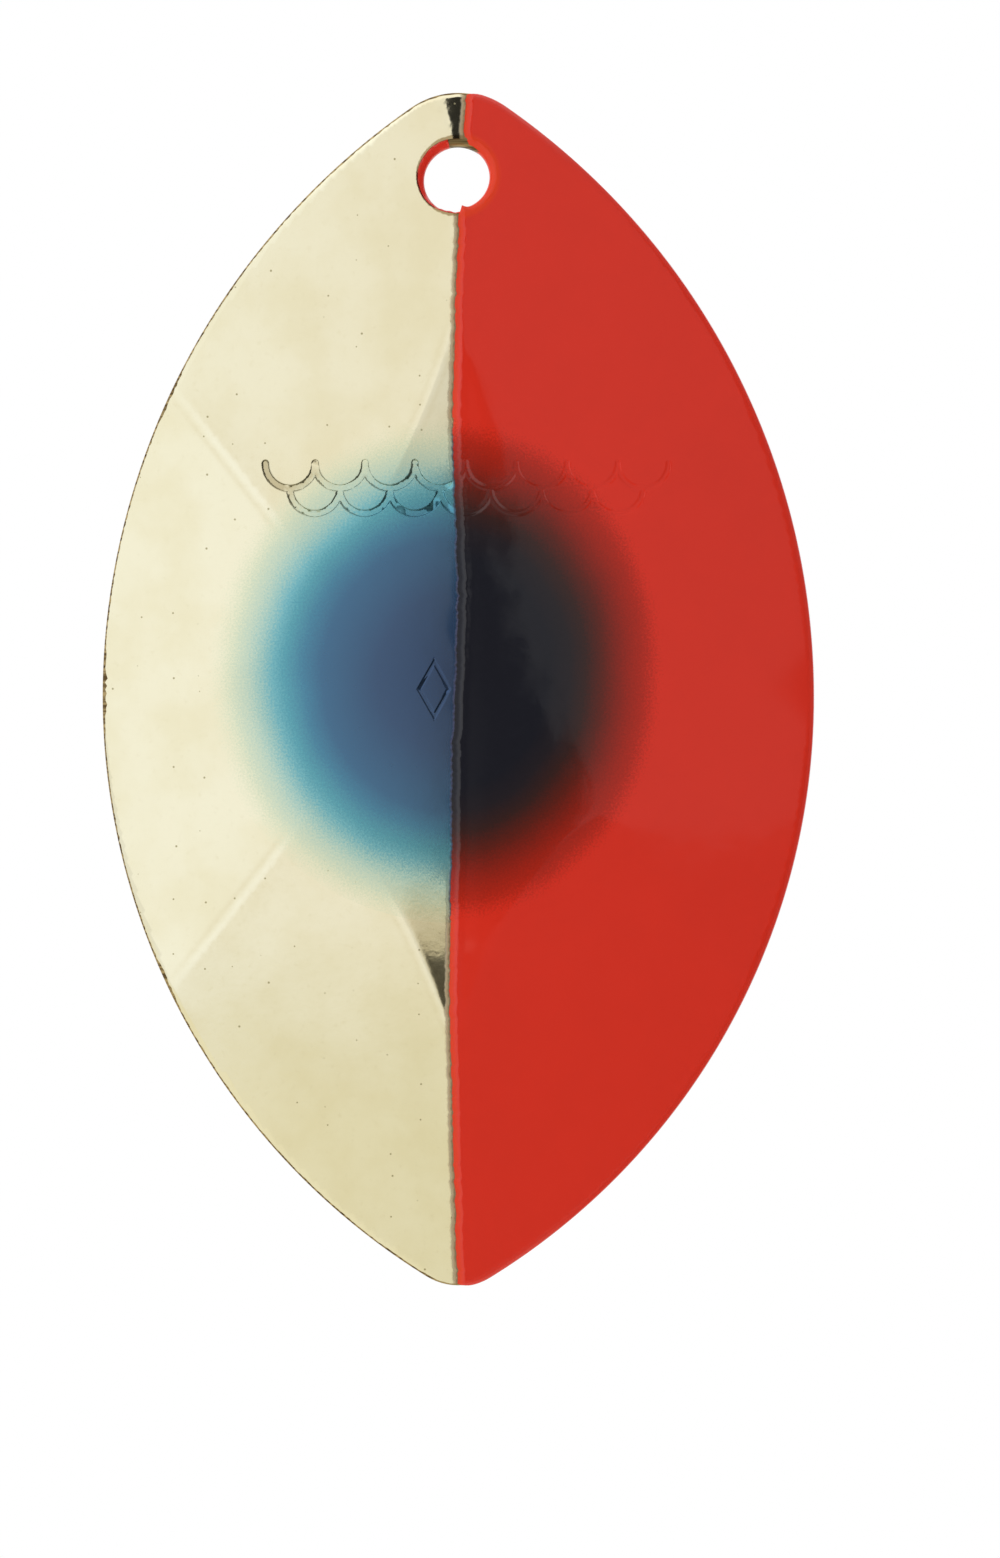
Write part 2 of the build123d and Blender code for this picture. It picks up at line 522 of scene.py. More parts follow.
def inside_loop(points, loop):
    """Which points lie inside a closed loop."""
    x, z = points[:, :1], points[:, 1:]
    (start_x, start_z), (stop_x, stop_z) = loop.T, np.roll(loop, -1, axis=0).T
    crossing = (start_z > z) != (stop_z > z)
    rise = np.where(stop_z == start_z, 1.0, stop_z - start_z)
    crossing &= x < start_x + (z - start_z) * (stop_x - start_x) / rise
    return crossing.sum(axis=1) % 2 == 1


def triangulate(loops, lines, inside):
    """Points and triangles between an outer loop and holes, through loose points and along open lines."""
    points = []
    edges = []
    count = 0
    for closed, chain in [(True, loop) for loop in loops] + [(False, line) for line in lines]:
        points.append(chain)
        last = len(chain) if closed else len(chain) - 1
        edges += [(count + i, count + (i + 1) % len(chain)) for i in range(last)]
        count += len(chain)
    points = np.vstack(points + [inside])
    found = delaunay_2d_cdt([Vector(point) for point in points], edges, [], 1, 1e-9, True)
    made, faces, origins = found[0], found[2], found[3]
    if len(made) != len(points):
        raise ValueError("the triangulation added or dropped points")
    faces = np.array([origin[0] for origin in origins])[np.array(faces)]
    centre = points[faces].mean(axis=1)
    on_border = np.flatnonzero((faces < count).all(axis=1))
    kept = inside_loop(centre[on_border], loops[0])
    for hole in loops[1:]:
        kept &= ~inside_loop(centre[on_border], hole)
    faces = np.delete(faces, on_border[~kept], axis=0)
    first, second, third = points[faces[:, 0]], points[faces[:, 1]], points[faces[:, 2]]
    turn = (second[:, 0] - first[:, 0]) * (third[:, 1] - first[:, 1])
    turn -= (third[:, 0] - first[:, 0]) * (second[:, 1] - first[:, 1])
    faces[turn < 0] = faces[turn < 0][:, ::-1]
    return points, faces


def surface_normals(surface, x, z):
    """Unit normals of a surface y(x, z), towards the viewer at -y."""
    step = 0.006
    count = len(x)
    around_x = np.r_[x + step, x - step, x, x]
    around_z = np.r_[z, z, z + step, z - step]
    right, left, above, below = surface(around_x, around_z).reshape(4, count)
    normals = np.c_[(right - left) / (2 * step), -np.ones(count), (above - below) / (2 * step)]
    return normals / np.linalg.norm(normals, axis=1)[:, None]


class Shell:
    """Collects the vertices and triangles of one piece, in millimetres."""

    def __init__(self):
        self.vertices = []
        self.normals = []       # a zero normal is left to the mesh
        self.triangles = []
        self.on_wall = []
        self.count = 0

    def add_vertices(self, xyz, normals=None):
        """Adds a row of vertices and returns the number of its first one."""
        start = self.count
        self.vertices.append(xyz)
        self.normals.append(np.zeros((len(xyz), 3)) if normals is None else normals)
        self.count += len(xyz)
        return start

    def add_sheet(self, loops, lines, inside, surface, back=False, heights=None):
        """A front or back surface. heights gives y of the loop points where it isn't on the surface."""
        points, faces = triangulate(loops, lines, inside)
        x, z = points.T
        y = surface(x, z)
        if heights is not None:
            y[:len(heights)] = heights
        normals = surface_normals(surface, x, z)
        if back:
            faces = faces[:, ::-1]
            normals = -normals
        start = self.add_vertices(np.c_[x, y, z], normals)
        self.triangles.append(faces + start)
        self.on_wall.append(np.zeros(len(faces), bool))
        return start

    def add_wall(self, first, rows, last, size):
        """Joins the row that starts at vertex first, through new rows, to the one that starts at last."""
        for row in rows:
            start = self.add_vertices(row)
            self.bridge(first, start, size)
            first = start
        self.bridge(first, last, size)

    def bridge(self, first, second, size):
        """Triangles between two closed rows that start at vertices first and second."""
        here = np.arange(size)
        after = (here + 1) % size
        self.triangles.append(np.c_[first + here, second + here, second + after])
        self.triangles.append(np.c_[first + here, second + after, first + after])
        self.on_wall.append(np.ones(2 * size, bool))


def put_in_scene(name, data):
    """A new object in the scene."""
    thing = bpy.data.objects.new(name, data)
    bpy.context.scene.collection.objects.link(thing)
    return thing


def write_piece(name, shell, node, materials, attributes=None):
    """Turns a shell into an object that rides on the blade and stands for a CAD node."""
    xyz = np.vstack(shell.vertices)
    triangles = np.vstack(shell.triangles)
    _, keep, same = np.unique(np.round(xyz, 6), axis=0, return_index=True, return_inverse=True)
    same = same.ravel()
    merged = same[triangles]
    whole = (merged[:, 0] != merged[:, 1]) & (merged[:, 1] != merged[:, 2]) & (merged[:, 0] != merged[:, 2])
    merged = merged[whole]
    mesh = bpy.data.meshes.new(name)
    mesh.from_pydata(xyz[keep] * MM, [], merged)
    if len(mesh.loops) != 3 * len(merged):
        raise ValueError("the mesh lost some triangles")
    mesh.shade_smooth()
    own = np.vstack(shell.normals)[triangles[whole]].reshape(-1, 3)
    found = np.zeros(3 * len(mesh.loops), np.float32)
    mesh.corner_normals.foreach_get("vector", found)
    found = found.reshape(-1, 3)
    own[np.repeat(np.concatenate(shell.on_wall)[whole], 3)] = 0.0
    shaded = np.where(np.abs(own).sum(axis=1)[:, None] > 0, own, found)
    mesh.normals_split_custom_set(shaded)
    for label, function in (attributes or {}).items():
        layer = mesh.attributes.new(label, "FLOAT", "POINT")
        layer.data.foreach_set("value", function(xyz[keep][:, 0], xyz[keep][:, 2]).astype(np.float32))
    for material in materials:
        mesh.materials.append(material)
    piece = put_in_scene(name, mesh)
    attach(piece, "root")
    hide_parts(node)
    return piece


# === node helpers ===
class Nodes:
    """Short ways to add and join nodes in one tree."""

    def __init__(self, tree):
        self.tree = tree
        tree.nodes.clear()

    def add(self, kind, **settings):
        node = self.tree.nodes.new(kind)
        for key, value in settings.items():
            setattr(node, key, value)
        return node

    def put(self, socket, value):
        if isinstance(value, bpy.types.NodeSocket):
            self.tree.links.new(value, socket)
        else:
            socket.default_value = value

    def fill(self, node, values):
        """Puts values in a node's inputs, which are numbers or names. Returns the node."""
        for key, value in values.items():
            self.put(node.inputs[key], value)
        return node

    def math(self, operation, first, second=0.0, third=0.0):
        node = self.add("ShaderNodeMath", operation=operation)
        return self.fill(node, {0: first, 1: second, 2: third}).outputs[0]

    def step(self, value, low, high, to_low=0.0, to_high=1.0):
        node = self.add("ShaderNodeMapRange", interpolation_type="SMOOTHSTEP")
        return self.fill(node, {0: value, 1: low, 2: high, 3: to_low, 4: to_high}).outputs[0]

    def mix(self, factor, first, second):
        node = self.add("ShaderNodeMix", data_type="RGBA")
        return self.fill(node, {0: factor, 6: first, 7: second}).outputs[2]

    def noise(self, vector, scale, detail=2.0, roughness=0.5):
        node = self.add("ShaderNodeTexNoise")
        self.fill(node, {"Vector": vector, "Scale": scale, "Detail": detail, "Roughness": roughness})
        return node.outputs["Fac"]

    def ramp(self, value, stops):
        node = self.add("ShaderNodeValToRGB")
        self.put(node.inputs[0], value)
        elements = node.color_ramp.elements
        elements[0].position, elements[0].color = stops[0]
        elements[1].position, elements[1].color = stops[-1]
        for place, colour in stops[1:-1]:
            element = elements.new(place)
            element.color = colour
        return node.outputs[0]

    def multiply(self, first, second):
        return self.math("MULTIPLY", first, second)

    def scaled(self, vector, factors):
        """A vector times three numbers."""
        node = self.add("ShaderNodeVectorMath", operation="MULTIPLY")
        return self.fill(node, {0: vector, 1: factors}).outputs[0]

    def axes(self, vector):
        return self.fill(self.add("ShaderNodeSeparateXYZ"), {0: vector}).outputs

    def attribute(self, name):
        return self.add("ShaderNodeAttribute", attribute_name=name).outputs["Fac"]

    def millimetres(self):
        """Position on the blade in millimetres, with the depth left out."""
        return self.scaled(self.add("ShaderNodeTexCoord").outputs["Object"], (1 / MM, 0.0, 1 / MM))


def srgb(red, green, blue):
    """Linear colour of an 8-bit screen colour."""
    def linear(value):
        value = value / 255
        return value / 12.92 if value <= 0.04045 else ((value + 0.055) / 1.055) ** 2.4
    return (linear(red), linear(green), linear(blue), 1.0)


def new_material(name):
    material = bpy.data.materials.new(name)
    material.use_nodes = True
    nodes = Nodes(material.node_tree)
    output = nodes.add("ShaderNodeOutputMaterial")
    shader = nodes.add("ShaderNodeBsdfPrincipled")
    nodes.tree.links.new(shader.outputs[0], output.inputs[0])
    return material, nodes, shader


GOLD = (0.83, 0.767, 0.545, 1.0)
GOLD_DEEP = (0.79, 0.715, 0.475, 1.0)
GOLD_TAN = (0.70, 0.61, 0.38, 1.0)
OLIVE = (0.30, 0.25, 0.11, 1.0)
GOLD_PAINTED_HIGHLIGHT = (0.89, 0.84, 0.64, 1.0)
BROWN = (0.11, 0.065, 0.022, 1.0)
LINE_TAN = (0.47, 0.31, 0.15, 1.0)
ENGRAVED_FLOOR = (0.42, 0.34, 0.17, 1.0)
ENGRAVED_WALL_SHADE = (0.11, 0.09, 0.035, 1.0)
RED = (0.87, 0.0365, 0.0170, 1.0)
RED_DEEP = (0.82, 0.0345, 0.0160, 1.0)
RED_LIP_HIGHLIGHT = (0.90, 0.060, 0.022, 1.0)
BRASS = (0.45, 0.33, 0.15, 1.0)
RUBBED_BRASS = (0.30, 0.20, 0.07, 1.0)
BLUE_GROOVE_SHADE = (0.02, 0.03, 0.05, 1.0)
BLUE_AT_LINE = (0.035, 0.032, 0.075, 1.0)


def gold_colour(nodes, place):
    """Colour and roughness of the gold plating, with its tarnish, pits and worn edges, and with painted shade
    and a painted highlight along the creases and painted shade on the walls of engraved lines.
    """
    cloud = nodes.noise(place, 0.22, 3.0, 0.55)
    colour = nodes.mix(nodes.step(cloud, 0.35, 0.70), GOLD, GOLD_DEEP)
    fine = nodes.noise(place, 2.6, 3.0, 0.6)
    colour = nodes.mix(nodes.step(fine, 0.55, 0.80, 0.0, 0.25), colour, GOLD_TAN)

    # painted shade: tan darkening beside each crease
    shade = nodes.multiply(nodes.attribute("shade"), nodes.step(fine, 0.2, 0.8, 0.35, 0.65))
    colour = nodes.mix(shade, colour, GOLD_TAN)
    # painted highlight: a pale band along each crease
    band = nodes.multiply(nodes.attribute("band"), nodes.step(fine, 0.2, 0.8, 0.55, 0.25))
    colour = nodes.mix(band, colour, GOLD_PAINTED_HIGHLIGHT)

    x, _, z = nodes.axes(place)
    flat_place = nodes.fill(nodes.add("ShaderNodeCombineXYZ"), {0: x, 1: z}).outputs[0]
    cells = nodes.add("ShaderNodeTexVoronoi", feature="F1", voronoi_dimensions="2D")
    nodes.fill(cells, {"Vector": flat_place, "Scale": 0.60})
    chosen = nodes.fill(nodes.add("ShaderNodeSeparateColor"), {0: cells.outputs["Color"]})
    size = nodes.step(chosen.outputs[0], 0.45, 1.0, 0.0, 0.046)
    pit = nodes.math("SUBTRACT", size, cells.outputs["Distance"])
    pit = nodes.step(pit, 0.0, 0.02, 0.0, 0.75)
    colour = nodes.mix(pit, colour, OLIVE)

    beside = nodes.attribute("beside")
    shake = nodes.noise(place, 3.2, 3.0, 0.7)
    reach = nodes.math("MULTIPLY_ADD", shake, 0.30, -0.24)
    brown = nodes.step(nodes.math("SUBTRACT", beside, reach), 0.0, 0.03)
    strip = nodes.step(beside, -0.36, -0.10, 0.0, 0.85)
    colour = nodes.mix(strip, colour, LINE_TAN)
    colour = nodes.mix(nodes.multiply(brown, 0.5), colour, BROWN)
    rubbed = nodes.math("MULTIPLY_ADD", shake, -0.22, nodes.attribute("mouth"))
    rubbed = nodes.step(rubbed, -0.08, 0.0, 0.8, 0.0)
    colour = nodes.mix(rubbed, colour, RUBBED_BRASS)

    colour = nodes.mix(nodes.multiply(nodes.attribute("floor"), 0.65), colour, ENGRAVED_FLOOR)
    # painted shade: the walls of the engraved lines are darkened nearly to black
    sides = nodes.attribute("sides")
    colour = nodes.mix(nodes.multiply(sides, 0.9), colour, ENGRAVED_WALL_SHADE)
    rough = nodes.step(fine, 0.2, 0.8, 0.045, 0.08)
    rough = nodes.math("MULTIPLY_ADD", nodes.math("MAXIMUM", pit, sides), 0.3, rough)
    rough = nodes.math("MAXIMUM", rough, nodes.step(beside, -0.34, -0.14, 0.0, 0.38))
    return colour, rough


def fine_bump(nodes, place, scale):
    """Normal with an unevenness of a few thousandths of a millimetre."""
    height = nodes.noise(place, scale)
    bump = nodes.add("ShaderNodeBump")
    return nodes.fill(bump, {"Strength": 1.0, "Distance": 0.002 * MM, "Height": height}).outputs[0]


def gold_plate(name):
    material, nodes, shader = new_material(name)
    place = nodes.millimetres()
    colour, rough = gold_colour(nodes, place)
    metal = nodes.step(nodes.attribute("beside"), -0.32, -0.14, 1.0, 0.3)
    nodes.fill(shader, {"Base Color": colour, "Roughness": rough, "Metallic": metal,
                        "Normal": fine_bump(nodes, place, 2.2)})
    return material


def enamel_lip(nodes):
    """1 on the rolled edge of the enamel, along the line and round the eye hole, where a highlight is painted
    into the red and the gloss is turned down.
    """
    beside = nodes.attribute("beside")
    along = nodes.step(beside, 0.10, 0.40, 1.0, 0.0)
    round_eye = nodes.multiply(nodes.step(nodes.attribute("mouth"), 0.05, 0.35, 1.0, 0.0),
                           nodes.step(beside, -0.1, 0.3))
    return nodes.math("MAXIMUM", nodes.multiply(along, nodes.step(beside, -0.4, -0.2)), round_eye)


def red_colour(nodes, place):
    """Colour of the red enamel: nearly even, a little deeper here and there, with a painted highlight in a
    lighter orange red on its rolled edge.
    """
    cloud = nodes.noise(place, 0.3, 2.0, 0.5)
    colour = nodes.mix(nodes.step(cloud, 0.3, 0.7, 0.0, 0.3), RED, RED_DEEP)
    # painted highlight: a lighter orange red on the rolled edge along the line and round the eye hole
    return nodes.mix(enamel_lip(nodes), colour, RED_LIP_HIGHLIGHT)


def enamel_gloss(nodes, shader, place):
    """The smooth wet-looking face of paint, bare or sprayed."""
    rough = nodes.step(nodes.noise(place, 1.5), 0.3, 0.7, 0.04, 0.07)
    shine = nodes.step(enamel_lip(nodes), 0.0, 1.0, 0.5, 0.2)
    nodes.fill(shader, {"Roughness": rough, "Specular IOR Level": shine, "IOR": 1.46,
                        "Normal": fine_bump(nodes, place, 1.3)})


def red_enamel():
    material, nodes, shader = new_material("red_enamel_paint")
    place = nodes.millimetres()
    nodes.put(shader.inputs["Base Color"], red_colour(nodes, place))
    enamel_gloss(nodes, shader, place)
    return material


def spray_radius(nodes, place, below, tallness):
    """Distance from the spot's middle in mm, roughened where the spray thins out."""
    centre = nodes.add("ShaderNodeVectorMath", operation="SUBTRACT")
    nodes.fill(centre, {0: place, 1: (-0.1, 0.0, -below)})
    length = nodes.add("ShaderNodeVectorMath", operation="LENGTH")
    nodes.fill(length, {0: nodes.scaled(centre.outputs[0], (1.0, 0.0, 1 / tallness))})
    radius = length.outputs["Value"]
    spread = nodes.step(radius, 5.0, 11.0, 0.4, 2.0)
    for scale, roughness, strength in ((8.5, 0.75, spread), (0.28, 0.5, 0.5)):     # droplets, then drifts
        uneven = nodes.math("SUBTRACT", nodes.noise(place, scale, 2.0, roughness), 0.5)
        radius = nodes.math("ADD", radius, nodes.multiply(uneven, strength))
    return radius


BLUE_STOPS = ((0.0, (44, 68, 102)), (4.0, (56, 83, 116)), (7.0, (63, 105, 137)), (8.0, (70, 128, 154)),
              (9.0, (87, 158, 170)), (9.6, (112, 175, 181)), (10.3, (155, 191, 180)), (11.0, (186, 203, 180)),
              (12.0, (212, 215, 182)), (13.4, (229, 224, 190)))
DARK_STOPS = ((0.0, (33, 33, 40)), (5.2, (33, 33, 40)), (6.3, (42, 36, 40)), (7.2, (62, 38, 35)),
              (8.1, (102, 38, 29)), (8.9, (144, 39, 27)), (9.6, (175, 41, 26)), (10.2, (193, 43, 26)),
              (11.2, (202, 44, 27)))
LONGEST_STOP = 14.0


def stops_of(table):
    """Colour ramp stops with places as a share of the longest radius."""
    return [(radius / LONGEST_STOP, srgb(*colour)) for radius, colour in table]


def lacquer_on_gold():
    material, nodes, shader = new_material("blue_lacquer_on_gold")
    place = nodes.millimetres()
    radius = spray_radius(nodes, place, spot_below_eye + 0.25, 1.05)
    gold, rough = gold_colour(nodes, place)
    blue = nodes.ramp(nodes.math("DIVIDE", radius, LONGEST_STOP), stops_of(BLUE_STOPS))
    # painted shade on the walls of the engraved lines under the blue
    blue = nodes.mix(nodes.multiply(nodes.attribute("sides"), 0.35), blue, BLUE_GROOVE_SHADE)
    edge = nodes.step(nodes.attribute("beside"), -0.16, -0.04, 0.0, 0.85)
    blue = nodes.mix(edge, blue, BLUE_AT_LINE)
    fade = nodes.step(radius, 11.6, 13.3)
    rough = nodes.math("MAXIMUM", rough, nodes.step(radius, 9.0, 12.0, 0.25, 0.0))
    nodes.fill(shader, {"Base Color": nodes.mix(fade, blue, gold), "Roughness": rough, "Metallic": 1.0,
                        "Coat Weight": nodes.step(radius, 8.0, 12.5, 0.6, 0.0), "Coat Roughness": 0.05,
                        "Normal": fine_bump(nodes, place, 2.2)})
    return material


def lacquer_on_enamel():
    material, nodes, shader = new_material("blue_lacquer_on_red")
    place = nodes.millimetres()
    radius = spray_radius(nodes, place, spot_below_eye, 1.19)
    dark = nodes.ramp(nodes.math("DIVIDE", radius, LONGEST_STOP), stops_of(DARK_STOPS))
    red = red_colour(nodes, place)
    fade = nodes.step(radius, 10.1, 11.3)
    nodes.put(shader.inputs["Base Color"], nodes.mix(fade, dark, red))
    enamel_gloss(nodes, shader, place)
    return material


def bare_brass():
    material, nodes, shader = new_material("bare_brass_edge")
    place = nodes.scaled(nodes.add("ShaderNodeTexCoord").outputs["Object"], (300.0, 300.0, 6000.0))
    streak = nodes.noise(place, 1.0, 3.0, 0.6)
    colour = nodes.mix(nodes.step(streak, 0.35, 0.65), BRASS, BROWN)
    rough = nodes.step(streak, 0.3, 0.7, 0.28, 0.5)
    nodes.fill(shader, {"Base Color": colour, "Roughness": rough, "Metallic": 1.0})
    return material


# === pieces ===
EYE_POINTS = 96


def around_eye(angles, size, share, front, back):
    """Points at a distance from the eye hole's axis, share of the way from the front face to the back."""
    x, across = size * np.cos(angles), size * np.sin(angles)
    y = np.zeros_like(x)
    for _ in range(6):      # y depends on z, which leans back with y
        z = across - y * math.tan(eye_lean)
        y = front(x, z) + share * (back(x, z) - front(x, z))
    return np.c_[x, y, across - y * math.tan(eye_lean)]


def eye_ring(radius, share, front, back, wobble=0.0):
    """A clockwise ring of points around the eye hole."""
    angle = np.arange(EYE_POINTS) * 2 * math.pi / EYE_POINTS
    size = radius(angle) if callable(radius) else radius
    size = size + wobble * np.sin(3 * angle + 1.0) + 0.6 * wobble * np.sin(7 * angle)
    return around_eye(angle, size, share, front, back)[::-1]


def with_height(points, surface):
    """Points (x, z) set on a surface as (x, y, z)."""
    return np.c_[points[:, 0], surface(points[:, 0], points[:, 1]), points[:, 1]]


def flat(row):
    """(x, z) of a row of (x, y, z)."""
    return row[:, [0, 2]]


def inside_blade(margin_rim, margin_eye):
    """A test that keeps lattice points clear of the rim and the eye hole."""
    def allowed(x, z, margin):
        clear = rim_distance(x, z) > margin_rim + margin
        return clear & (mouth_gap(x, z) > margin_eye + margin)
    return allowed


def engraved_wall_shade(x, z):
    """1 on the sides of an engraved line, where shade is painted dark."""
    return groove(x, z, scale_stroke + 0.03, 0.06) - groove(x, z, scale_stroke - 0.04, 0.05)


def engraved_floor(x, z):
    """1 on the floor of an engraved line."""
    return groove(x, z, scale_stroke - 0.04, 0.05)


def crease_painted_highlight(x, z):
    """1 on the painted highlight along a crease, a pale band."""
    across, strength = outer_crease(x, z)
    band = strength * hill(across, 0.0, 0.20)
    across, strength = crown_crease(x, z)
    return np.maximum(band, 0.9 * strength * hill(across, 0.0, 0.24))


def crease_shade(x, z):
    """1 where shade is painted beside a crease: thin dark lines beside it and a broad falloff to one side."""
    across, strength = outer_crease(x, z)
    thin = strength * 0.8 * hill(across, crease_hollow, 0.15)
    broad = strength * 0.75 * np.where(across < -0.15, np.exp((across + 0.15) / 1.1), 0.0)
    across, strength = crown_crease(x, z)
    lines = strength * 0.55 * hill(np.abs(across), crease_hollow, 0.15)
    return np.maximum(np.maximum(thin, broad), lines)


attributes = {
    "beside": lambda x, z: x - line_x(z),
    "mouth": mouth_gap,
    # sides carries the painted shade on the walls of the engraved lines
    "sides": engraved_wall_shade,
    "floor": engraved_floor,
    # band carries the painted highlight along the creases
    "band": crease_painted_highlight,
    # shade carries the painted shade beside the creases
    "shade": crease_shade,
}
back_attributes = {
    "beside": lambda x, z: np.full_like(x, -5.0),
    "mouth": lambda x, z: eye_distance(x, z) - eye_radius,
    "sides": lambda x, z: np.zeros_like(x),
    "floor": lambda x, z: np.zeros_like(x),
    # a weaker painted highlight along the creases of the back
    "band": lambda x, z: 0.5 * crease_painted_highlight(x, z),
    # a weaker painted shade beside the creases of the back
    "shade": lambda x, z: 0.6 * crease_shade(x, z),
}


def add_faces(shell, edge, surfaces, rings, insides):
    """The front and back of a sheet between its rim and its eye hole. Returns their first vertices."""
    starts = []
    for surface, ring, inside, is_back in zip(surfaces, rings, insides, (False, True)):
        heights = np.r_[surface(*edge.T), ring[:, 1]]
        starts.append(shell.add_sheet([edge, flat(ring)], [], inside, surface, back=is_back, heights=heights))
    return starts


def stamped_blank():
    """The brass sheet: faces, sheared edge and punched eye hole."""
    shell = Shell()
    edge, _ = outline(0.0, 0.30)
    front_row = with_height(edge, blank_front)
    back_row = with_height(edge, sheet_back)
    eye_front = eye_ring(mouth_radius, 0.0, blank_front, sheet_back, 0.015)
    eye_back = eye_ring(eye_radius + 0.03, 1.0, blank_front, sheet_back)
    inside = lattice("plain", inside_blade(0.0, 0.03))
    start_front, start_back = add_faces(shell, edge, (blank_front, sheet_back), (eye_front, eye_back),
                                        (inside, inside))
    size = len(edge)
    sheared = [front_row + share * (back_row - front_row) for share in (0.12, 0.5, 0.9)]
    shell.add_wall(start_front, sheared, start_back, size)
    punched = [eye_ring(eye_radius + growth, share, blank_front, sheet_back) for growth, share in
               ((0.11, 0.12), (0.03, 0.24), (0.0, 0.4), (0.0, 0.8), (0.01, 0.95))]
    shell.add_wall(start_front + size, punched, start_back + size, EYE_POINTS)
    return write_piece("stamped_blank", shell, "blade_blank", [bare_brass()])


def rim_wear(x, z):
    """How far the plating has worn back from its edge, more where the rim gets rubbed."""
    wear = np.clip(-ripple(ragged_waves, 0.16, x + z, z), -0.05, 0.05)
    for middle, reach, depth in ((-27.3, 1.9, 0.17), (-11.6, 1.2, 0.09), (-42.8, 1.2, 0.10)):
        streaks = 0.65 + 0.35 * np.sin(9.0 * z + 3.0 * np.sin(2.3 * z))
        wear = wear + (x < 0) * depth * np.exp(-((z - middle) / reach) ** 4) * streaks
    return wear


def plating(name, node, front, back, inset, mouth, is_back=False):
    """A plated skin between two surfaces, with its own rim and eye hole."""
    shell = Shell()
    edge, outward = outline(-inset, 0.20)
    if not is_back:
        edge = edge - outward * rim_wear(edge[:, 0], edge[:, 1])[:, None]
    rings = [eye_ring(mouth, share, front, back, 0.02) for share in (0.0, 1.0)]
    keep_clear = inside_blade(inset + 0.05, 0.05)
    insides = [lattice(part, keep_clear) for part in ("plain" if is_back else "fine", "plain")]
    start_front, start_back = add_faces(shell, edge, (front, back), rings, insides)
    shell.bridge(start_front, start_back, len(edge))
    shell.bridge(start_front + len(edge), start_back + len(edge), EYE_POINTS)
    written = back_attributes if is_back else attributes
    material = gold_plate("gold_plating_reverse" if is_back else "gold_plating")
    return write_piece(name, shell, node, [material], written)


def line_points(low_z, high_z, spacing):
    """The paint line from the top down."""
    count = max(2, round((high_z - low_z) / spacing))
    z = np.linspace(high_z, low_z, count)
    return np.c_[line_x(z), z]


def enamel_border():
    """The enamel's edge, counterclockwise: (x, z), outward ways, wraps over the rim and into the eye."""
    edge, outward = outline(0.0, 0.20)
    right = edge[:, 0] > line_x(edge[:, 1])
    order = np.flatnonzero(right)
    start = order[0] if not right[0] else order[np.flatnonzero(np.diff(order) > 1)[0] + 1]
    count = int(right.sum())
    picked = [(start + i) % len(edge) for i in range(count)]
    rim = edge[picked]
    rim_out = outward[picked]
    travelled = np.r_[0, np.cumsum(np.hypot(*np.diff(rim, axis=0).T))]
    wrap = np.clip(np.minimum(travelled, travelled[-1] - travelled) / 0.5, 0, 1)

    angles = np.linspace(math.radians(80), math.radians(-87), 60)
    reach = mouth_radius(angles) + 0.02
    eye = np.c_[reach * np.cos(angles), eye_mouth_z + reach * np.sin(angles)]
    eye_in = np.c_[-np.cos(angles), -np.sin(angles)]
    eye_wrap = np.clip(np.minimum(np.arange(60), 59 - np.arange(60)) / 3, 0, 1)

    top, bottom = (line_points(low, high, 0.08)[1:-1] for low, high in
                   ((eye[0, 1], rim[-1, 1]), (rim[0, 1], eye[-1, 1])))
    top, bottom = (row[(rim_distance(*row.T) > 0.04) & (mouth_gap(*row.T) > 0.04)] for row in (top, bottom))
    border = np.vstack([rim, top, eye, bottom])
    ways = np.vstack([rim_out, np.zeros_like(top), eye_in, np.zeros_like(bottom)])
    over_rim = np.r_[wrap, np.zeros(len(top) + len(eye) + len(bottom))]
    into_eye = np.r_[np.zeros(len(rim) + len(top)), eye_wrap, np.zeros(len(bottom))]
    return border, ways, over_rim, into_eye


def add_eye_sleeve(shell):
    """The enamel that ran round the bare side of the eye hole."""
    profile = (     # offset outward, from the wall or from the lip, share of the way through the sheet
        (0.03, False, -0.07), (-0.08, False, 0.02), (0.12, True, 0.12), (0.03, True, 0.26), (0.0, True, 0.50),
        (0.02, True, 0.80), (0.07, True, 0.93), (0.16, True, 0.88), (0.16, True, 0.42), (0.20, True, 0.20),
        (-0.03, False, 0.05))
    angles = np.radians(np.arange(103.0, 279.0, 3.0))
    film = 0.05 + 0.09 * np.clip(-np.cos(angles), 0, 1) ** 2
    ragged = 0.02 * np.sin(11 * angles) + 0.02 * np.sin(23 * angles + 1.0)
    rows = []
    for offset, on_wall, share in profile:
        radius = eye_radius - film + offset if on_wall else mouth_radius(angles) + offset + ragged
        rows.append(around_eye(angles, radius, share, blank_front, sheet_back))
    size = len(profile)
    starts = [shell.add_vertices(ring) for ring in np.array(rows).transpose(1, 0, 2)]
    for first, second in zip(starts, starts[1:]):
        shell.bridge(second, first, size)
    for start, turned in ((starts[0], False), (starts[-1], True)):
        here = np.arange(1, size - 1)
        fan = np.c_[np.zeros(size - 2, int), here, here + 1] + start
        shell.triangles.append(fan[:, ::-1] if turned else fan)
        shell.on_wall.append(np.ones(size - 2, bool))


